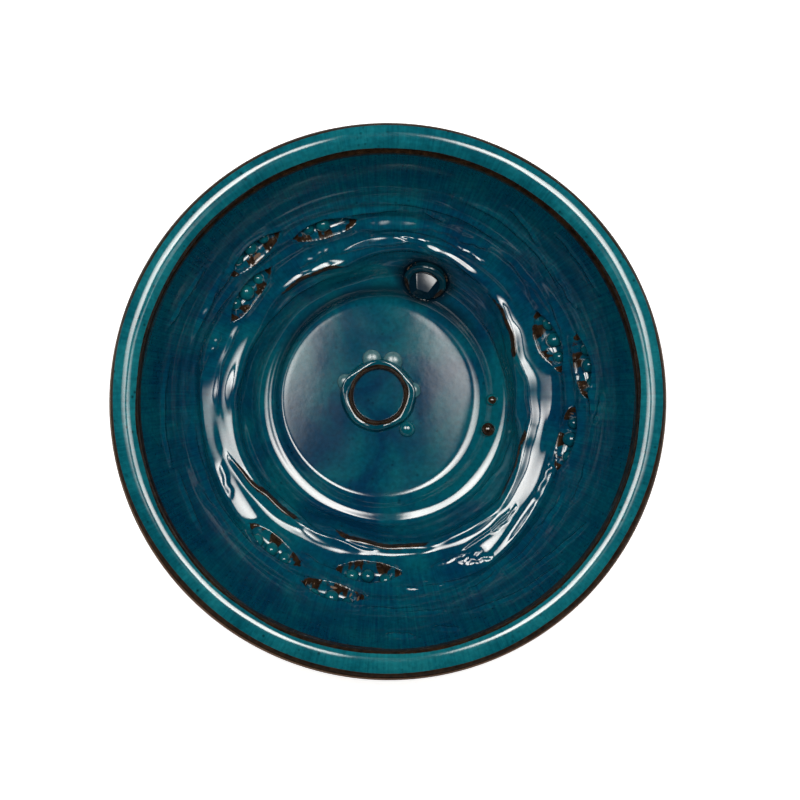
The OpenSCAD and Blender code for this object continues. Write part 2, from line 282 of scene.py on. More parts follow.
def treads(phi, s, r):
    """Nearly level stretches that the potter's hand pressed into the wall above the ledge."""
    height = np.zeros(np.broadcast(phi, s).shape)
    level = np.zeros_like(height)
    for a0, a1, in0, out0, in1, out1, slope in TREADS:
        t = (wrap(phi - (a0 + a1) / 2) + (a1 - a0) / 2) / (a1 - a0)
        tt = np.clip(t, 0, 1)
        inside = smooth(t * 3.2) * smooth((1 - t) * 3.2)
        lo = in0 + (in1 - in0) * tt + 0.8 * np.sin(np.radians(phi * 5 + a0))
        hi = out0 + (out1 - out0) * tt + 1.0 * np.sin(np.radians(phi * 4 + a1))
        u = (r - lo) / (hi - lo)
        pivot = lo + 0.42 * (hi - lo)
        held = np.clip(r, lo, hi)
        out = held - pivot
        want = np.interp(pivot, INSIDE.fine_r, INSIDE.fine_z) + math.tan(math.radians(slope)) * out
        want = want - 0.0045 * out * np.abs(out)
        lift = (want - np.interp(held, INSIDE.fine_r, INSIDE.fine_z)) * 0.82
        fade = smooth(1 - (lo - r) / 6.5) * smooth(1 - (r - hi) / 7.0)
        height = height + lift * fade * inside
        level = np.maximum(level, smooth(1 + u * 4) * smooth(1 + (1 - u) * 3) * inside)
    return height, level


def pocket_places():
    for g, angle in GROUPS.items():
        for which, (t, da, tilt) in POCKETS.items():
            yield g, which, angle + da, t, tilt


def pocket_local(phi, s, angle, t, tilt):
    """Distances along and across a pocket, in millimetres on the wall."""
    r = wall_radius(t)
    x = np.radians(wrap(phi - angle)) * r
    y = s - INSIDE.s_at(r)
    c, n = math.cos(math.radians(-tilt)), math.sin(math.radians(-tilt))
    return c * x + n * y, -n * x + c * y


def pockets(phi, s):
    """Depth of the pockets, the swell round them, and where the glaze has broken to brown."""
    dip = np.zeros(np.broadcast(phi, s).shape)
    swell = np.zeros_like(dip)
    broken = np.zeros_like(dip)
    for i, (_, _, angle, t, tilt) in enumerate(pocket_places()):
        x, y = pocket_local(phi, s, angle, t, tilt)
        half = POCKET_LEN / 2
        along = np.clip(1 - (x / half) ** 2, 0, 1)
        w = SLIT_HALF * along ** 0.8 + 1e-3
        across = np.clip(1 - (y / w) ** 2, 0, 1)
        inside = (np.abs(x) < half) & (np.abs(y) < w)
        dip = np.where(inside, np.maximum(dip, POCKET_DEPTH * across ** 0.55 * along ** 0.35), dip)
        near = np.hypot(np.maximum(np.abs(x) - half * 0.8, 0), np.maximum(np.abs(y) - w, 0))
        swell = swell + 0.9 * np.exp(-(near / 3.2) ** 2) * ~inside
        lip = np.exp(-((y + w + 0.1) / 1.0) ** 2) * smooth(along * 5)
        patch = smooth(0.45 + 0.75 * np.sin(x * 0.42 + 2.1 * i) + 0.5 * np.sin(x * 1.1 + i))
        notch = np.sin(x / PELLET_PITCH * math.pi + math.pi / 2 + 0.4 * math.sin(i))
        comb = -2.2 + 3.8 * np.abs(notch) ** 1.6
        teeth = smooth((comb - 2.4 - y) / 1.0) * inside * smooth(along * 3) * patch
        ends = inside * smooth((np.abs(x) - 13.5) / 2.5) * smooth((1.5 - y) / 2.0)
        lip = lip * (0.45 + 0.5 * patch)
        broken = np.maximum.reduce([broken, lip, teeth, ends * 0.9])
    return dip, swell, broken


def inside_relief(phi, s, r):
    """How far the glazed inside lies above its plain section, and its glaze break."""
    t = (s - S_LEDGE) / WALL_LEN
    band = smooth(t * 9) * smooth((0.62 - t) * 4)
    turn = slow_noise(phi, 0 * s, 3, around=3, along=0)
    amount = 0.6 + 0.6 * slow_noise(phi, s, 5, around=5, along=0.02)
    rings = 0.42 * amount * np.sin(TAU * ((s - S_LEDGE) / 9.5 + 0.22 * turn + phi / 360.0)) * band
    broad = 0.62 * slow_noise(phi, s, 11, around=7, along=0.045) * band
    tread_h, level = treads(phi, s, r)
    swirl = 0.07 * slow_noise(phi, s, 29, waves=22, around=12, along=0.09) * level
    swirl = swirl + 0.28 * slow_noise(phi, s, 31, waves=22, around=11, along=0.06) * level
    well = smooth((t + 0.42) * 6) * smooth((0.05 - t) * 12)
    low_rings = 0.10 * np.sin(TAU * (s - S_LEDGE) / 7.2 + np.radians(phi)) * well
    low_rings = low_rings + 0.4 * slow_noise(phi, s, 17, around=6, along=0.06) * well
    shelf = 0.14 * slow_noise(phi, s, 19, around=7, along=0.04)
    shelf = shelf * smooth((r - 50) / 10) * smooth((76 - r) / 6)
    round_left = smooth((np.cos(np.radians(phi - 222)) - 0.05) * 1.8)
    shelf = shelf - 0.95 * round_left * smooth((r - 62.5) / 8) * smooth((77 - r) / 5)
    upper = 0.16 * slow_noise(phi, s, 23, around=8, along=0.03)
    upper = upper * smooth((t - 0.5) * 6) * smooth((1 - t) * 8)
    lip_h, lip_b = lips(phi, s)
    dip, swell, pocket_b = pockets(phi, s)
    clear = smooth(1 - dip / 1.5)
    worked = (rings + broad) * (1 - 0.85 * level) + lip_h + tread_h + swirl
    height = worked * clear + low_rings + shelf + upper + swell - dip
    return height, np.maximum(lip_b * clear, pocket_b)


def inside_points(section, phi, lift):
    """The inside surface raised by lift along its normals, and its glaze break."""
    s, r0, z0 = section.s[1:, None], section.r[1:, None], section.z[1:, None]
    height, broken = inside_relief(phi, s, r0)
    h = height + lift
    r = r0 + h * section.nr[1:, None] + ledge_shift(phi, r0)
    pts = polar(r, z0 + h * section.nz[1:, None], phi)
    pts[..., 0] += FLOOR_OFFSET[0] * floor_shift(r0)
    pts[..., 1] += FLOOR_OFFSET[1] * floor_shift(r0)
    return pts, broken


# ---------------------------------------------------------------- mesh helpers
def drain_frame():
    """Middle of the mouth, the ways across and down the slope, and the axis into the bowl."""
    a, q = math.radians(DRAIN_A), math.radians(DRAIN_SLOPE)
    out = np.array([math.cos(a), math.sin(a), 0.0])
    side = np.array([-math.sin(a), math.cos(a), 0.0])
    axis = -math.sin(q) * out + math.cos(q) * np.array([0, 0, 1.0])
    cross = np.cross(axis, side)
    origin = MOUTH[0] * out + np.array([0, 0, MOUTH[1]])
    return origin, side, cross, axis


def to_drain(points):
    o, side, cross, axis = drain_frame()
    p = points - o
    return np.stack([p @ side, p @ cross, p @ axis], -1)


def from_drain(points):
    o, side, cross, axis = drain_frame()
    return o + points[..., 0:1] * side + points[..., 1:2] * cross + points[..., 2:3] * axis


def scoop(points):
    """Moves points near the drain's mouth onto the dished dip round it; gives radius and height there."""
    q = to_drain(points)
    rad = np.hypot(q[..., 0], q[..., 1])
    edge = math.sqrt(SCOOP_R ** 2 - (SCOOP_R / 2) ** 2)
    deep = SCOOP_R / 2 - np.sqrt(np.maximum(SCOOP_R ** 2 - np.minimum(rad, edge) ** 2, 0))
    near = (rad < edge) & (np.abs(q[..., 2]) < 20) & (q[..., 2] > deep)
    moved = q.copy()
    moved[..., 2] = np.where(near, deep, q[..., 2])
    return np.where(near[..., None], from_drain(moved), points), rad, q[..., 2]


def add_mesh(name, verts, faces, attributes=None):
    mesh = bpy.data.meshes.new(name)
    mesh.from_pydata((np.asarray(verts) * MM).tolist(), [], faces)
    mesh.validate()
    mesh.update()
    obj = bpy.data.objects.new(name, mesh)
    bpy.context.scene.collection.objects.link(obj)
    for key, values in (attributes or {}).items():
        layer = mesh.attributes.new(key, "FLOAT", "POINT")
        layer.data.foreach_set("value", np.asarray(values, np.float32).ravel())
    mesh.polygons.foreach_set("use_smooth", [True] * len(mesh.polygons))
    return obj


def grid_faces(rows, cols, closed_rows=False, first=0, flip=False):
    """Quads between the rows of a polar grid; flip turns their normals over."""
    faces = []
    last = rows if closed_rows else rows - 1
    for i in range(last):
        a, b = first + i * cols, first + ((i + 1) % rows) * cols
        if flip:
            a, b = b, a
        for j in range(cols):
            k = (j + 1) % cols
            faces.append((a + j, a + k, b + k, b + j))
    return faces


def polar(section_r, section_z, phi):
    """Points of a body of revolution whose section may change with the angle."""
    r, z, a = np.broadcast_arrays(section_r, section_z, np.radians(phi))
    return np.stack([r * np.cos(a), r * np.sin(a), z], -1)


# ---------------------------------------------------------------- inside of the bowl
def make_inside():
    cols = 840
    phi = turn_angles(cols)
    s = INSIDE.s[1:, None]
    pts, broken = inside_points(INSIDE, phi[None, :], GLAZE)
    pts, rad, level = scoop(pts)
    rows = pts.shape[0]
    edge = smooth((s - (INSIDE.s[-1] - 3.0)) / 2.0) + 0 * phi[None, :]
    # Painted shade: darker round the drain's mouth, and along the shelf step on the upper side.
    painted_shade = smooth((22.0 - rad) / 9.0) * (np.abs(level) < 18)
    arc_band = np.exp(-((INSIDE.r[1:, None] - 63.5) / 4.5) ** 2)
    arc_band = arc_band * smooth((np.cos(np.radians(phi[None, :] - 100)) - 0.1) * 1.6)
    painted_shade = np.maximum(painted_shade, 0.75 * arc_band)
    broken = np.maximum(broken, edge)
    verts = np.concatenate([[[*FLOOR_OFFSET, pts[0, :, 2].mean()]], pts.reshape(-1, 3)])
    faces = [(0, 1 + j, 1 + (j + 1) % cols) for j in range(cols)]
    faces += grid_faces(rows, cols, first=1, flip=True)
    # The tube passes through here, under its own lip.
    open_r = TUBE_R + 0.3
    gone = np.concatenate([[False], ((rad < open_r) & (np.abs(level) < 14)).ravel()])
    faces = [f for f in faces if not all(gone[v] for v in f)]
    return add_mesh("glazed_inside", verts, faces, {
        "brown": np.concatenate([[0], broken.ravel()]),
        "painted_shade": np.concatenate([[0], painted_shade.ravel()])})


def rim_lean(phi, r):
    """The crown leans outwards on one side of the bowl and inwards on the other."""
    return 0.13 * np.sin(np.radians(phi + 8)) * (np.clip(r, 134, 149) - 142)


def rim_sway(phi, s):
    """How far the rim strays from a true circle."""
    return 0.25 * slow_noise(phi, 0 * s, 47, around=4, along=0) - 0.32


def make_rim():
    """The glazed crown between the two edges where the glaze has run thin and brown."""
    cols = 720
    phi = turn_angles(cols)
    crown_half = (RIM_OUT[0] - RIM_IN[0]) / 2
    crown_r = (crown_half ** 2 + CROWN_RISE ** 2) / (2 * CROWN_RISE)
    crown_c = np.array([RIM_IN[0] + crown_half, RIM_TOP - crown_r])
    half_a = math.degrees(math.asin(crown_half / crown_r))
    crown = arc(crown_c, crown_r + GLAZE * 0.9, 90 + half_a - 4, 90 - half_a + 7, 34)
    inner = np.array([[132.6, 102.3], [133.3, 103.7], [133.9, 105.0], [134.35, 106.1], [134.9, 107.0]])
    outer = arc(ROLL_C, ROLL_R + 0.12, ROLL_TOP - 2, ROLL_TOP - 14, 5)
    line = Section(np.concatenate([inner, crown, outer]), [(ANY_R, 0.42)], round_mm=0.35)
    s = line.s[:, None]
    wave = 0.22 * slow_noise(phi[None, :], s, 41, around=5, along=0.01)
    wave = wave + 0.07 * slow_noise(phi[None, :], s, 43, around=24, along=0.04)
    ridge = 0.14 * np.exp(-((line.r[:, None] - 139.0) / 0.9) ** 2)
    ridge = ridge * smooth(np.sin(np.radians(phi[None, :])) * 2)
    wave = wave + ridge + rim_lean(phi[None, :], line.r[:, None])
    lift = wave * smooth(s / 5) * smooth((line.s[-1] - s) / 3)
    sway = rim_sway(phi[None, :], s)
    pts = polar(line.r[:, None] + lift * line.nr[:, None] + sway,
                line.z[:, None] + lift * line.nz[:, None] - 0.45, phi[None, :])
    r = line.r[:, None] + 0 * phi[None, :]
    inner_w = 0.35 * slow_noise(phi[None, :], 0 * s, 51, around=20, along=0)
    inner_b = smooth((136.0 + inner_w - r) / 0.7)
    front = smooth(np.sin(np.radians(-phi[None, :] + 8)) * 1.6)
    bare = 147.3 - 1.8 * front + 0.25 * slow_noise(phi[None, :], 0 * s, 53, around=16, along=0)
    outer_b = smooth((r - bare) / 0.6)
    return add_mesh("glazed_rim", pts.reshape(-1, 3), grid_faces(len(line.s), cols, flip=True), {
        "brown": np.maximum(inner_b, outer_b).ravel(),
        "bare": outer_b.ravel(),
        "painted_shade": np.zeros(r.size)})


# ---------------------------------------------------------------- clay body
def outer_section():
    """Section from the rolled rim down the outside to the middle of the foot."""
    path = bezier(LEDGE, WALL_MID, WALL_TOP, 201)
    tangent = np.gradient(path, axis=0)
    tangent /= np.hypot(*tangent.T)[:, None]
    normal = np.stack([-tangent[:, 1], tangent[:, 0]], 1)
    top, mid, low = (path[i] - WALL_T * normal[i] for i in (186, 90, 0))
    ctrl = 2 * mid - (top + low) / 2
    root = np.array([FOOT_R + 2, FOOT_H])
    wall = bezier(top, ctrl, low, 80)
    foot = bezier(low, np.array([FOOT_R + 18, FLOOR_Z - 1]), root, 24)
    ring = [[FOOT_R, 1.6], [FOOT_R - 1.2, 0.25], [FOOT_R - 4.5, 0.0], [FOOT_R - FOOT_W + 1.2, 0.2],
            [FOOT_R - FOOT_W, 1.6], [FOOT_R - FOOT_W - 1, FOOT_H - 0.4], [FOOT_R - FOOT_W - 3, FOOT_H],
            [0.0, FOOT_H]]
    roll = arc(ROLL_C, ROLL_R, ROLL_TOP - 6, ROLL_LOW, 30)
    return np.concatenate([roll, wall, foot, ring])


def make_body():
    """Outside, foot, and an inner skin a little below the glaze, as one closed form."""
    cols = 480
    phi = turn_angles(cols)
    outer = Section(outer_section()[::-1], [(48, 6.0), (62, 0.7), (ANY_R, 0.9)], round_mm=0.5)
    s = outer.s[:, None]
    r, z = outer.r[:, None], outer.z[:, None]
    nr, nz = -outer.nr[:, None], -outer.nz[:, None]
    up = smooth((z - 8) / 10) * smooth((96 - z) / 8)
    rings = 0.45 * np.sin(TAU * s / 9.0 + np.radians(phi[None, :])) * up
    rough = 0.22 * slow_noise(phi[None, :], s, 61, around=12, along=0.05) * up
    facets = 0.35 * slow_noise(phi[None, :], s, 67, around=5, along=0.02) * up
    swell = np.zeros((len(outer.s), cols))
    for _, _, angle, t, _ in pocket_places():
        radius, level = bezier(LEDGE, WALL_MID, WALL_TOP, 201)[int(round(t * 200))]
        x = np.radians(wrap(phi[None, :] - angle)) * radius
        y = (z - (level - 6.0)) * 1.25
        swell = np.maximum(swell, 4.6 * np.exp(-(x / 19) ** 2 - (y / 9.5) ** 2))
    sway = rim_sway(phi[None, :], s) * smooth((z - 80) / 15)
    lift = rings + rough + facets + swell * (nr > 0.2) * up
    pts = polar(r + lift * nr + sway, z + lift * nz - 0.05 * (z > 90), phi[None, :])
    # Inner skin, from the rim's inner edge to the middle of the floor.
    inner = Section(INSIDE_LINE, [(44, 4.0), (200, 1.8)], round_mm=1.0)
    skin, _ = inside_points(inner, phi[None, :], -0.6)
    skin = scoop(skin[::-1])[0]
    near_top = smooth((skin[..., 2] - 96) / 8)
    outwards = np.stack([np.cos(np.radians(phi)), np.sin(np.radians(phi)), 0 * phi], -1)
    skin = skin + 1.4 * near_top[..., None] * outwards
    crown = np.array([[147.6, 106.4], [145.0, 108.0], [142.0, 108.7], [139.0, 108.0], [136.4, 106.6],
                      [134.6, 104.6]])
    lean = rim_lean(phi[None, :], crown[:, 0:1])
    top = polar(crown[:, 0:1], crown[:, 1:2] - 0.5 + lean, phi[None, :])
    rows = np.concatenate([pts[1:], top, skin])
    verts = np.concatenate([[[0, 0, FOOT_H]], rows.reshape(-1, 3), [[*FLOOR_OFFSET, FLOOR_Z - 0.7]]])
    n = len(rows)
    end = len(verts) - 1
    faces = [(0, 1 + (j + 1) % cols, 1 + j) for j in range(cols)]
    faces += grid_faces(n, cols, first=1)
    base = 1 + (n - 1) * cols
    faces += [(end, base + j, base + (j + 1) % cols) for j in range(cols)]
    q = to_drain(verts)
    gone = (np.hypot(q[:, 0], q[:, 1]) < TUBE_R - 0.6) & (np.abs(q[:, 2]) < 30)
    faces = [f for f in faces if not any(gone[v] for v in f)]
    # A wrapped collar of clay where the tube comes out.
    collar_line = np.array([[11.0, -13.2], [12.6, -13.3], [13.6, -12.6], [14.2, -10.8], [15.2, -8.4],
                            [17.2, -5.6], [20.0, -3.2]])
    collar_cols = 72
    first = len(verts)
    a = turn_angles(collar_cols)
    c_r = collar_line[:, 0:1] + 0.25 * slow_noise(a[None, :], collar_line[:, 1:2], 71, around=6, along=0.03)
    collar = from_drain(polar(c_r, collar_line[:, 1:2], a[None, :]))
    verts = np.concatenate([verts, collar.reshape(-1, 3)])
    faces += grid_faces(len(collar_line), collar_cols, first=first)
    return add_mesh("clay_body", verts, faces)


# ---------------------------------------------------------------- ring, pellets, drain, stopper
def make_ring():
    """The coil on the floor, thumbed out into lobes, with its glaze broken along the crest."""
    cols = 180
    phi = turn_angles(cols)
    z0 = FLOOR_Z + GLAZE
    edge_r = RING_OUT - 2.0
    inner_side = bezier(np.array([RING_IN + 0.3, 2.4]), np.array([RING_IN + 1.1, RING_H - 0.8]),
                        np.array([RING_IN + 2.8, RING_H - 0.15]), 14)
    outer_side = bezier(np.array([RING_IN + 3.3, RING_H - 0.15]), np.array([edge_r - 0.4, RING_H - 0.5]),
                        np.array([edge_r, 1.2]), 16)
    sec = Section(np.concatenate([
        [[RING_IN, -0.4], [RING_IN, 1.2], [RING_IN + 0.15, 2.0]], inner_side, outer_side,
        [[edge_r + 0.3, 0.45], [edge_r + 0.9, 0.12], [edge_r + 1.6, -0.4]]]), [(ANY_R, 0.35)], round_mm=0.4)
    s = sec.s[:, None]
    lobes = 0.0
    for a, size in RING_LOBES:
        lobes = lobes + size * np.exp(-(wrap(phi - a) / LOBE_SPREAD) ** 2)
    r = sec.r[:, None]
    flank = smooth((r - RING_IN - 2.4) / 2.5)
    outward = lobes[None, :] * flank * smooth((edge_r + 2 - r) / 1.5)
    crest = 0.28 * slow_noise(phi[None, :], s, 81, around=7, along=0.02)
    inner = 0.3 * slow_noise(phi[None, :], 0 * s, 83, around=4, along=0)
    rr = r + outward * 0.75 + inner
    z = sec.z[:, None]
    zz = z + z0 + crest * smooth(z / 3) + 0.4 * outward * smooth(z / 2)
    zz = np.minimum(zz, z0 + RING_H - 0.02)
    pts = polar(rr, zz, phi[None, :]) + [RING[0], RING[1], 0]
    edge = 0.25 * slow_noise(phi[None, :], 0 * s, 87, around=14, along=0)
    brown = smooth((RING_IN + 3.2 + edge - r) / 0.8) * smooth((z - 1.0) / 1.2)
    return add_mesh("floor_ring", pts.reshape(-1, 3), grid_faces(len(sec.s), cols, flip=True),
                    {"brown": brown.ravel(), "painted_shade": np.zeros(brown.size)})


def blob(bm, centre, scale, turn, seed, rough=0.07):
    """One pressed pellet: a sphere pulled out of true, added to bm."""
    made = bmesh.ops.create_icosphere(bm, subdivisions=4, radius=1.0)["verts"]
    rng = np.random.default_rng(seed)
    dirs = rng.normal(size=(7, 3)) * 1.6
    phase = rng.uniform(0, TAU, 7)
    for v in made:
        k = sum(math.cos(v.co.dot(Vector(d)) + p) for d, p in zip(dirs, phase)) / 7
        v.co = v.co * (1 + rough * k * 1.6)
    matrix = Matrix.Translation(Vector(centre)) @ turn @ Matrix.Diagonal((*scale, 1.0))
    bmesh.ops.transform(bm, matrix=matrix, verts=made)


def finish_blobs(name, bm, brown_of):
    """Turns the blobs into one object, with the glaze broken where brown_of says."""
    mesh = bpy.data.meshes.new(name)
    bm.to_mesh(mesh)
    co = np.empty(len(mesh.vertices) * 3)
    mesh.vertices.foreach_get("co", co)
    co = co.reshape(-1, 3)
    brown = brown_of(co)
    mesh.vertices.foreach_set("co", (co * MM).ravel())
    obj = bpy.data.objects.new(name, mesh)
    bpy.context.scene.collection.objects.link(obj)
    for key, values in (("brown", brown), ("painted_shade", np.zeros(len(co)))):
        layer = mesh.attributes.new(key, "FLOAT", "POINT")
        layer.data.foreach_set("value", np.asarray(values, np.float32))
    mesh.polygons.foreach_set("use_smooth", [True] * len(mesh.polygons))
    bm.free()
    mesh.update()
    return obj


def wall_frame(angle, t):
    """Point on the wall with the ways round it, up it and into the bowl."""
    path = bezier(LEDGE, WALL_MID, WALL_TOP, 201)
    i = int(round(t * 200))
    d = path[min(i + 1, 200)] - path[max(i - 1, 0)]
    d /= np.hypot(*d)
    a = math.radians(angle)
    out = np.array([math.cos(a), math.sin(a), 0])
    up = d[0] * out + np.array([0, 0, d[1]])
    inward = -d[1] * out + np.array([0, 0, d[0]])
    around = np.array([-math.sin(a), math.cos(a), 0])
    origin = path[i][0] * out + np.array([0, 0, path[i][1]])
    return origin, around, up, inward


def make_pocket_pellets(g, which, angle, t, tilt, seed):
    origin, around, up, inward = wall_frame(angle, t)
    c, n = math.cos(math.radians(tilt)), math.sin(math.radians(tilt))
    along, across = c * around + n * up, -n * around + c * up
    turn = Matrix((tuple(along), tuple(across), tuple(inward))).transposed().to_4x4()
    rng = np.random.default_rng(seed)
    bm = bmesh.new()
    for i in (-1, 0, 1):
        x = i * PELLET_PITCH + rng.uniform(-0.6, 0.6)
        y = -0.9 + rng.uniform(-0.7, 0.7)
        size = (4.1 + rng.uniform(-0.4, 0.3)) * (0.86 if i else 1.0)
        depth = -3.3 - 0.7 * abs(i) + rng.uniform(-0.3, 0.3)
        centre = origin + x * along + y * across + depth * inward
        blob(bm, centre, (size, size * 1.06, size * 0.92), turn, seed * 10 + i)

    def brown_of(co):
        q = co - origin
        y = q @ across
        x = q @ along
        ragged = 0.7 * np.sin(x * 1.7 + seed) + 0.4 * np.sin(x * 3.9 + y)
        return smooth((-3.4 + 0.7 * ragged - y) / 0.9) * 0.95
    return finish_blobs("pellets_%s_%s_beads" % (g, which), bm, brown_of)


def around_z(distance, angle):
    return distance * math.cos(math.radians(angle)), distance * math.sin(math.radians(angle))


def make_ring_pellets():
    bm = bmesh.new()
    for i, (distance, angle, size, lift) in enumerate(RING_PELLETS):
        x, y = around_z(distance, angle)
        centre = (RING[0] + x, RING[1] + y, FLOOR_Z + GLAZE + lift)
        turn = Matrix.Rotation(math.radians(angle), 4, "Z")
        blob(bm, centre, (size * 0.96, size, size * 0.36), turn, 300 + i, rough=0.03)
    return finish_blobs("ring_pellet_beads", bm, lambda co: 0.0 * co[:, 0])


def make_floor_pellets():
    """One flat pellet by the ring, and two at the foot of the well with brown tops."""
    bm = bmesh.new()
    for i, (distance, angle, size, lift) in enumerate(FLOOR_PELLETS):
        x, y = around_z(distance, angle)
        flat = 0.97 if i else 0.5
        turn = Matrix.Rotation(0.7 * i, 4, "Z")
        blob(bm, (x, y, FLOOR_Z + GLAZE + lift), (size, size, size * flat), turn, 320 + i, rough=0.06)

    def brown_of(co):
        return 0.95 * smooth(co[:, 2] - (FLOOR_Z + GLAZE + 6.9))
    return finish_blobs("floor_pellet_beads", bm, brown_of)


def lathe_at_drain(name, line, cols, seed, wobble, brown_of=None, closed=False, squash=None, flip=False):
    """A slightly untrue body of revolution about the drain's axis."""
    a = turn_angles(cols)
    r, z = line[:, 0:1], line[:, 1:2]
    rr = r + wobble * slow_noise(a[None, :], z, seed, around=5, along=0.04) * smooth(r / 3)
    pts = polar(rr, z + 0 * rr, a[None, :])
    if squash:
        pts = squash(pts)
    brown = brown_of(pts) if brown_of else 0 * rr
    faces = grid_faces(len(line), cols, closed_rows=closed, flip=flip)
    # Every drain piece carries painted shade at three quarters strength.
    return add_mesh(name, from_drain(pts).reshape(-1, 3), faces, {
        "brown": brown.ravel(),
        "painted_shade": np.ones(rr.size) * 0.75})


def make_tube():
    """The drain's clay tube, with its lip brown on the side down the slope."""
    end = -TUBE_LEN
    line = np.concatenate([
        [[BORE_R + 0.15, end + 0.4], [BORE_R + 0.15, 0.0], [BORE_R + 0.15, LIP_H - 1.0]],
        [[BORE_R + 0.5, LIP_H - 0.4], [BORE_R + 1.3, LIP_H - 0.05], [TUBE_R - 0.4, LIP_H - 0.02]],
        arc([TUBE_R + 0.1, LIP_H - 1.2], 1.15, 78, -60, 9),
        [[TUBE_R + 0.1, -2.4], [TUBE_R, -6.0], [TUBE_R - 0.05, end + 0.8], [TUBE_R - 0.7, end + 0.1]],
        [[BORE_R + 0.8, end + 0.1]]])
    sec = Section(line, [(ANY_R, 0.5)])

    def brown_of(pts):
        r = np.hypot(pts[..., 0], pts[..., 1])
        low = smooth(0.4 + pts[..., 1] / 8)
        out = smooth((r - 9.0) / 1.0) * smooth((pts[..., 2] - 0.2) / 1.0) * low
        under = smooth((-4 - pts[..., 2]) / 2)
        return np.maximum(out * 0.95, under)
    return lathe_at_drain("drain_lip", np.stack([sec.r, sec.z], 1), 120, 91, wobble=0.22, brown_of=brown_of,
                          closed=True, flip=True)


def make_knob():
    """The stopper's knob, on a stem that stands in the plug."""
    r = 8.75
    stem_z = -TUBE_LEN + 5.6 + LIP_H
    line = np.concatenate([
        [[0.02, stem_z], [2.95, stem_z], [2.95, LIP_H + 0.02], [r - 1.6, LIP_H + 0.04]],
        arc([r - 1.5, LIP_H + 1.5], 1.45, -80, 0, 7),
        bezier(np.array([r - 0.05, LIP_H + 1.6]), np.array([r - 0.1, LIP_H + 6.4]),
               np.array([r * 0.45, LIP_H + 7.1]), 16),
        [[r * 0.2, LIP_H + 7.35], [0.02, LIP_H + 7.4]]])
    sec = Section(line, [(ANY_R, 0.45)])

    def squash(pts):
        """Thumb-pressed faces: the first lies level, the others on the sides and the top."""
        _, side, cross, axis = drain_frame()
        faces = (((side[2], cross[2], axis[2]), 6.6), ((-0.75, -0.2, 0.62), 8.4),
                 ((0.75, -0.2, 0.62), 8.3), ((0.0, 0.2, 0.98), 9.1))
        for d, limit in faces:
            d = np.array(d) / np.linalg.norm(d)
            over = np.maximum(pts @ d - limit, 0)
            pts = pts - 0.96 * over[..., None] * d * (pts[..., 2:3] > LIP_H + 1.0)
        return pts
    return lathe_at_drain("drain_knob", np.stack([sec.r, sec.z], 1), 96, 95, wobble=0.05, squash=squash)


def make_plug():
    """The ribbed rubber plug under the knob."""
    r = BORE_R - 0.1
    bottom = -TUBE_LEN + 2
    line = [[2.9, LIP_H - 0.05], [r - 0.6, LIP_H - 0.3], [r, LIP_H - 1.1]]
    for k in range(4):
        z = LIP_H - 3.2 - 2.8 * k
        line += [[r - 0.04 * k, z + 0.9], [r - 0.32 - 0.04 * k, z + 0.4], [r - 0.32 - 0.04 * k, z - 0.4],
                 [r - 0.06 - 0.04 * k, z - 0.9]]
    line += [[r - 0.6, bottom + 0.9], [r - 1.5, bottom + 0.05], [0.05, bottom]]
    return lathe_at_drain("drain_plug", np.array(line), 72, 99, wobble=0.0, flip=True)


# ---------------------------------------------------------------- materials
def new_material(name):
    m = bpy.data.materials.new(name)
    m.use_nodes = True
    return m, m.node_tree, m.node_tree.nodes["Principled BSDF"]


def ramp(tree, source, stops):
    node = tree.nodes.new("ShaderNodeValToRGB")
    els = node.color_ramp.elements
    while len(els) < len(stops):
        els.new(0.5)
    for e, (pos, col) in zip(els, stops):
        e.position = pos
        e.color = (*col, 1.0)
    tree.links.new(source, node.inputs["Fac"])
    return node.outputs["Color"]


def grey_ramp(tree, source, lo, hi, a=0.0, b=1.0):
    return ramp(tree, source, [(lo, (a, a, a)), (hi, (b, b, b))])


def calc(tree, op, a, b=0.0):
    node = tree.nodes.new("ShaderNodeMath")
    node.operation = op
    for i, v in enumerate((a, b)):
        if isinstance(v, (int, float)):
            node.inputs[i].default_value = v
        else:
            tree.links.new(v, node.inputs[i])
    return node.outputs[0]


def times(tree, a, b):
    return calc(tree, "MULTIPLY", a, b)


def plus(tree, a, b):
    return calc(tree, "ADD", a, b)


def minus(tree, a, b):
    return calc(tree, "SUBTRACT", a, b)


def mix_colour(tree, fac, a, b, blend="MIX"):
    node = tree.nodes.new("ShaderNodeMix")
    node.data_type = "RGBA"
    node.blend_type = blend
    for socket, v in ((node.inputs["Factor"], fac), (node.inputs["A"], a), (node.inputs["B"], b)):
        if isinstance(v, (int, float)):
            socket.default_value = v
        elif isinstance(v, tuple):
            socket.default_value = (*v, 1.0)
        else:
            tree.links.new(v, socket)
    return node.outputs["Result"]


def noise_tex(tree, vector, scale, detail=3.0, rough=0.55, distort=0.0):
    node = tree.nodes.new("ShaderNodeTexNoise")
    node.inputs["Scale"].default_value = scale
    node.inputs["Detail"].default_value = detail
    node.inputs["Roughness"].default_value = rough
    node.inputs["Distortion"].default_value = distort
    tree.links.new(vector, node.inputs["Vector"])
    return node.outputs["Fac"]


def attribute(tree, name):
    node = tree.nodes.new("ShaderNodeAttribute")
    node.attribute_name = name
    return node.outputs["Fac"]


def position(tree):
    return tree.nodes.new("ShaderNodeNewGeometry").outputs["Position"]


def split_xyz(tree, vector):
    node = tree.nodes.new("ShaderNodeSeparateXYZ")
    tree.links.new(vector, node.inputs[0])
    return node.outputs


def add_bump(tree, bsdf, height, strength, distance):
    node = tree.nodes.new("ShaderNodeBump")
    node.inputs["Strength"].default_value = strength
    node.inputs["Distance"].default_value = distance
    tree.links.new(height, node.inputs["Height"])
    tree.links.new(node.outputs[0], bsdf.inputs["Normal"])


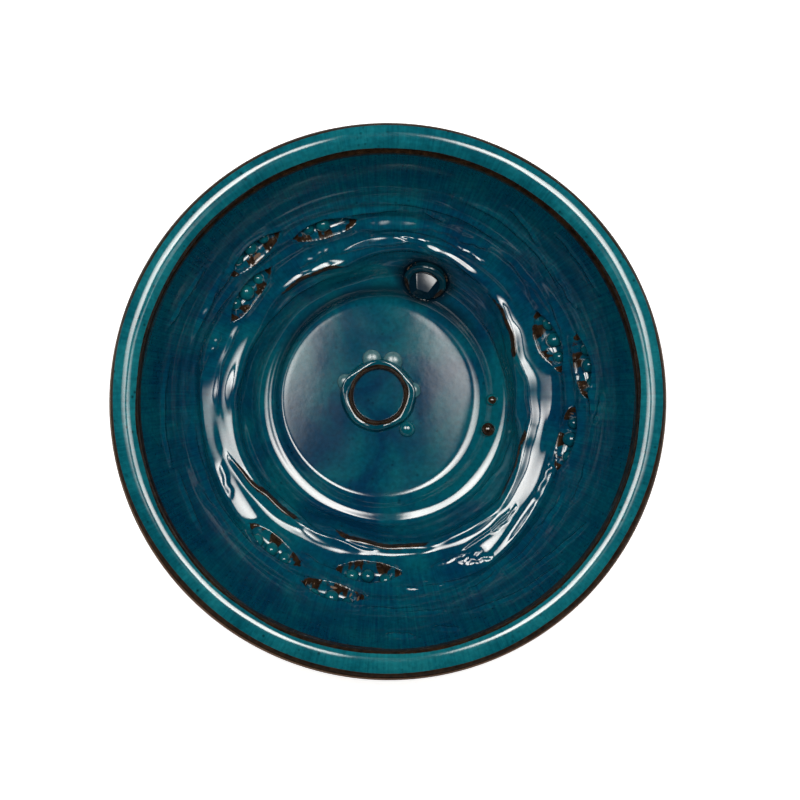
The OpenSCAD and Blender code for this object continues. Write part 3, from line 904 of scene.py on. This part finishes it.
def streak_vector(tree, xyz, around, down):
    """Coordinates that stretch a texture up and down the wall and keep it fine round the bowl."""
    flat = tree.nodes.new("ShaderNodeCombineXYZ")
    tree.links.new(xyz["X"], flat.inputs["X"])
    tree.links.new(xyz["Y"], flat.inputs["Y"])
    unit = tree.nodes.new("ShaderNodeVectorMath")
    unit.operation = "NORMALIZE"
    tree.links.new(flat.outputs[0], unit.inputs[0])
    size = tree.nodes.new("ShaderNodeVectorMath")
    size.operation = "SCALE"
    size.inputs["Scale"].default_value = around
    tree.links.new(unit.outputs[0], size.inputs[0])
    up = tree.nodes.new("ShaderNodeCombineXYZ")
    tree.links.new(times(tree, xyz["Z"], down), up.inputs["Z"])
    add = tree.nodes.new("ShaderNodeVectorMath")
    add.operation = "ADD"
    tree.links.new(size.outputs[0], add.inputs[0])
    tree.links.new(up.outputs[0], add.inputs[1])
    return add.outputs[0]


BROWN = [(0.32, (0.007, 0.0040, 0.0025)), (0.72, (0.034, 0.0185, 0.0095))]
# Dark colour for painted shade round the drain, on the drain pieces and along the shelf step.
PAINTED_SHADE_COLOUR = (0.0016, 0.010, 0.020)


def glaze_material(name, deep, mid, light, streaks=0.0, gloss=0.03, specks=0.5, bump=0.02, shine=0.5,
                   bare_edge=False):
    """Glaze with a dark painted shade mixed in, streaks running up the wall, and brown where the glaze has
    broken on edges.
    """
    m, tree, bsdf = new_material(name)
    pos = position(tree)
    xyz = split_xyz(tree, pos)
    cloud = noise_tex(tree, pos, 26.0, detail=4.0, distort=0.6)
    fine = noise_tex(tree, pos, 420.0, detail=3.0)
    lines = noise_tex(tree, streak_vector(tree, xyz, 34.0, 14.0), 3.4, detail=4.0, rough=0.6)
    # Streaks belong to the wall and fade towards the floor.
    share = grey_ramp(tree, times(tree, xyz["Z"], 10.0), 0.22, 0.62, 0.0, streaks)
    blend = plus(tree, times(tree, cloud, minus(tree, 1.0, share)), times(tree, lines, share))
    colour = ramp(tree, blend, [(0.39, deep), (0.5, mid), (0.62, light)])
    colour = mix_colour(tree, 1.0, colour, grey_ramp(tree, fine, 0.35, 0.7, 0.82, 1.16), blend="MULTIPLY")
    # Dark specks, here and there.
    spot = tree.nodes.new("ShaderNodeTexVoronoi")
    spot.inputs["Scale"].default_value = 260.0
    tree.links.new(pos, spot.inputs["Vector"])
    rare = grey_ramp(tree, noise_tex(tree, pos, 95.0, detail=1.0), 0.50, 0.62)
    dot = times(tree, grey_ramp(tree, spot.outputs["Distance"], 0.08, 0.3, 1.0, 0.0), rare)
    colour = mix_colour(tree, times(tree, dot, specks), colour, tuple(c * 0.25 for c in deep))
    # Painted shade: the dark colour mixed in where the attribute asks for it.
    colour = mix_colour(tree, attribute(tree, "painted_shade"), colour, PAINTED_SHADE_COLOUR)
    # Brown where the glaze has broken, with a ragged edge.
    ragged = times(tree, minus(tree, noise_tex(tree, pos, 520.0, detail=3.0), 0.5), 0.5)
    mask = grey_ramp(tree, plus(tree, attribute(tree, "brown"), ragged), 0.38, 0.62)
    clay = ramp(tree, noise_tex(tree, pos, 300.0, detail=4.0), BROWN)
    tree.links.new(mix_colour(tree, mask, colour, clay), bsdf.inputs["Base Color"])
    rough = grey_ramp(tree, noise_tex(tree, pos, 60.0), 0.3, 0.75, gloss * 0.8, gloss * 1.35)
    worn = times(tree, mask, 0.08)
    if bare_edge:
        bare = attribute(tree, "bare")
        worn = plus(tree, worn, times(tree, bare, 0.5))
        tree.links.new(minus(tree, shine, times(tree, bare, 0.44)), bsdf.inputs["Specular IOR Level"])
    else:
        bsdf.inputs["Specular IOR Level"].default_value = shine
    tree.links.new(plus(tree, rough, worn), bsdf.inputs["Roughness"])
    add_bump(tree, bsdf, noise_tex(tree, pos, 170.0, detail=2.0), bump, 0.0006)
    bsdf.inputs["IOR"].default_value = 1.52
    return m


def clay_material():
    m, tree, bsdf = new_material("bare_stoneware")
    pos = position(tree)
    stretch = tree.nodes.new("ShaderNodeMapping")
    stretch.inputs["Scale"].default_value = (1, 1, 9)
    tree.links.new(pos, stretch.inputs["Vector"])
    turn = noise_tex(tree, stretch.outputs[0], 24.0, detail=5.0)
    fine = noise_tex(tree, pos, 700.0, detail=4.0, rough=0.7)
    base = ramp(tree, turn, [(0.3, (0.070, 0.040, 0.026)), (0.55, (0.125, 0.078, 0.052)),
                             (0.75, (0.180, 0.120, 0.085))])
    grit = grey_ramp(tree, fine, 0.55, 0.72, 0.0, 0.6)
    tree.links.new(mix_colour(tree, grit, base, (0.035, 0.020, 0.014)), bsdf.inputs["Base Color"])
    tree.links.new(grey_ramp(tree, fine, 0.3, 0.8, 0.55, 0.8), bsdf.inputs["Roughness"])
    bsdf.inputs["Specular IOR Level"].default_value = 0.15
    add_bump(tree, bsdf, plus(tree, fine, times(tree, turn, 1.5)), 0.35, 0.0005)
    return m


def rubber_material():
    m, tree, bsdf = new_material("plug_rubber")
    n = noise_tex(tree, position(tree), 900.0, detail=3.0)
    tree.links.new(ramp(tree, n, [(0.3, (0.010, 0.010, 0.011)), (0.8, (0.030, 0.030, 0.033))]),
                   bsdf.inputs["Base Color"])
    tree.links.new(grey_ramp(tree, n, 0.3, 0.8, 0.5, 0.75), bsdf.inputs["Roughness"])
    return m


def stage_material():
    m, tree, bsdf = new_material("white_table")
    n = noise_tex(tree, position(tree), 3.0)
    tree.links.new(grey_ramp(tree, n, 0.2, 0.8, 0.86, 0.90), bsdf.inputs["Base Color"])
    bsdf.inputs["Roughness"].default_value = 0.9
    bsdf.inputs["Emission Color"].default_value = (1.0, 1.0, 1.0, 1.0)
    bsdf.inputs["Emission Strength"].default_value = 0.80
    return m


INNER = glaze_material(
    "inner_glaze", (0.0005, 0.0311, 0.0731), (0.0006, 0.0529, 0.0918), (0.0013, 0.0809, 0.1119),
    streaks=0.45, gloss=0.06)
RIM = glaze_material(
    "rim_glaze", (0.0015, 0.0724, 0.1025), (0.0034, 0.1086, 0.1418), (0.0075, 0.1448, 0.1749),
    streaks=0.35, gloss=0.06, specks=0.9, bare_edge=True)
SMALL = glaze_material(
    "pellet_glaze", (0.0008, 0.0491, 0.0792), (0.0017, 0.0792, 0.1065), (0.0041, 0.1092, 0.1310))
RINGM = glaze_material(
    "ring_glaze", (0.0005, 0.0429, 0.0697), (0.0011, 0.0616, 0.0884), (0.0024, 0.0858, 0.1099))
# Ring pellets: paler glaze, partly where the glaze runs thin over them and partly a painted highlight, a
# lighter colour standing in for their broad soft highlights.
PEARL_PALE_AND_SHEEN = glaze_material(
    "pearl_glaze_pale_and_sheen", (0.020, 0.085, 0.110), (0.045, 0.125, 0.145), (0.090, 0.175, 0.190),
    gloss=0.20, bump=0.01)
KNOB = glaze_material(
    "knob_glaze", (0.0012, 0.006, 0.014), (0.0018, 0.011, 0.024), (0.0024, 0.020, 0.038),
    gloss=0.10, specks=0.0, shine=0.3)
CLAY = clay_material()
RUBBER = rubber_material()


# ---------------------------------------------------------------- pieces
def place(obj, material, slot, body, *nodes):
    obj.data.materials.append(material)
    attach(obj, body)
    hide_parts(*nodes)
    return obj


place(make_inside(), INNER, "inner_glaze", "bowl", "inner_glaze")
place(make_rim(), RIM, "rim_glaze", "bowl", "rim_glaze")
place(make_body(), CLAY, "stoneware", "bowl", "bowl_body")
place(make_ring(), RINGM, "ring_glaze", "bowl", "centre_ring")
place(make_ring_pellets(), PEARL_PALE_AND_SHEEN, "pellet_glaze", "bowl", "ring_pellets")
place(make_floor_pellets(), SMALL, "pellet_glaze", "bowl", "floor_pellets")
for count, (g, which, angle, t, tilt) in enumerate(pocket_places()):
    beads = make_pocket_pellets(g, which, angle, t, tilt, 200 + 7 * count)
    place(beads, SMALL, "pellet_glaze", "bowl", "pellets_%s_%s" % (g, which))
place(make_tube(), RINGM, "ring_glaze", "bowl", "drain_tube")
place(make_knob(), KNOB, "knob_glaze", "stopper", "stopper_knob")
place(make_plug(), RUBBER, "plug_rubber", "stopper", "stopper_plug")


# ---------------------------------------------------------------- table, lights, camera
TABLE_R, TABLE_CURL = 6200, 300


def make_table():
    """A level white disc whose far edge curls up a little."""
    flat = np.stack([np.linspace(50, TABLE_R, 36), np.zeros(36)], 1)
    line = np.concatenate([flat, arc([TABLE_R, TABLE_CURL], TABLE_CURL, -90, -30, 10)])
    cols = 96
    a = turn_angles(cols)
    pts = polar(line[:, 0:1], line[:, 1:2] + 0 * a[None, :], a[None, :])
    verts = np.concatenate([[[0, 0, 0]], pts.reshape(-1, 3)])
    faces = [(0, 1 + j, 1 + (j + 1) % cols) for j in range(cols)]
    faces += grid_faces(len(line), cols, first=1, flip=True)
    obj = add_mesh("table", verts, faces)
    obj.data.materials.append(stage_material())


SOFTBOX_SIZE = (0.68, 0.90)
SOFTBOX_Y, SOFTBOX_Z = 0.185, 1.55
SOFTBOX_POWER, SOFTBOX_ROLL = 50.0, 3.4
WARM_WHITE = (1.0, 0.97, 0.925)


def softbox(name, x):
    """A level softbox that fades round its edge, towards the near end and away from the middle."""
    data = bpy.data.lights.new(name, "AREA")
    data.shape = "RECTANGLE"
    data.color = WARM_WHITE
    data.size, data.size_y = SOFTBOX_SIZE
    data.energy = SOFTBOX_POWER
    data.use_nodes = True
    tree = data.node_tree
    xyz = split_xyz(tree, position(tree))
    out_x = times(tree, minus(tree, xyz["X"], x), 2 / SOFTBOX_SIZE[0])
    out_y = times(tree, minus(tree, xyz["Y"], SOFTBOX_Y), 2 / SOFTBOX_SIZE[1])
    across = calc(tree, "POWER", calc(tree, "ABSOLUTE", out_x), 3.0)
    along = calc(tree, "POWER", calc(tree, "ABSOLUTE", out_y), 3.0)
    away = calc(tree, "POWER", plus(tree, across, along), 1 / 3)
    round_fall = grey_ramp(tree, away, 0.72, 0.99, 1.0, 0.03)
    far_end = grey_ramp(tree, plus(tree, times(tree, out_y, 0.5), 0.5), 0.10, 0.46, 0.16, 1.0)
    inner_side = grey_ramp(tree, calc(tree, "ABSOLUTE", xyz["X"]), 0.08, 0.62, 1.0, 0.26)
    fall = times(tree, times(tree, round_fall, calc(tree, "POWER", far_end, 1.7)), inner_side)
    tree.links.new(fall, tree.nodes["Emission"].inputs["Strength"])
    obj = bpy.data.objects.new(name, data)
    bpy.context.scene.collection.objects.link(obj)
    roll = Matrix.Rotation(math.radians(SOFTBOX_ROLL), 4, "Z")
    obj.matrix_world = Matrix.Translation(Vector((x, SOFTBOX_Y, SOFTBOX_Z))) @ roll
    obj.visible_camera = False


make_table()
softbox("softbox_left", -0.382)
softbox("softbox_right", 0.392)

world = bpy.data.worlds.new("studio")
world.use_nodes = True
backdrop = world.node_tree.nodes["Background"]
backdrop.inputs["Color"].default_value = (1.0, 1.0, 1.0, 1.0)
backdrop.inputs["Strength"].default_value = 0.006
bpy.context.scene.world = world
bpy.context.scene.view_settings.view_transform = "Standard"

EYE = Vector((-0.020, 0.020, 1.400))
LOOK = Vector((0.0062, 0.0011, 0.100))
camera_data = bpy.data.cameras.new("camera")
camera_data.sensor_width = 36.0
camera_data.lens = 108.8
camera_data.clip_end = 20.0
camera = bpy.data.objects.new("camera", camera_data)
bpy.context.scene.collection.objects.link(camera)
back = (EYE - LOOK).normalized()
right = Vector((1, 0, 0))
right = (right - right.dot(back) * back).normalized()
up = back.cross(right)
camera.matrix_world = Matrix.Translation(EYE) @ Matrix((right, up, back)).transposed().to_4x4()
bpy.context.scene.camera = camera
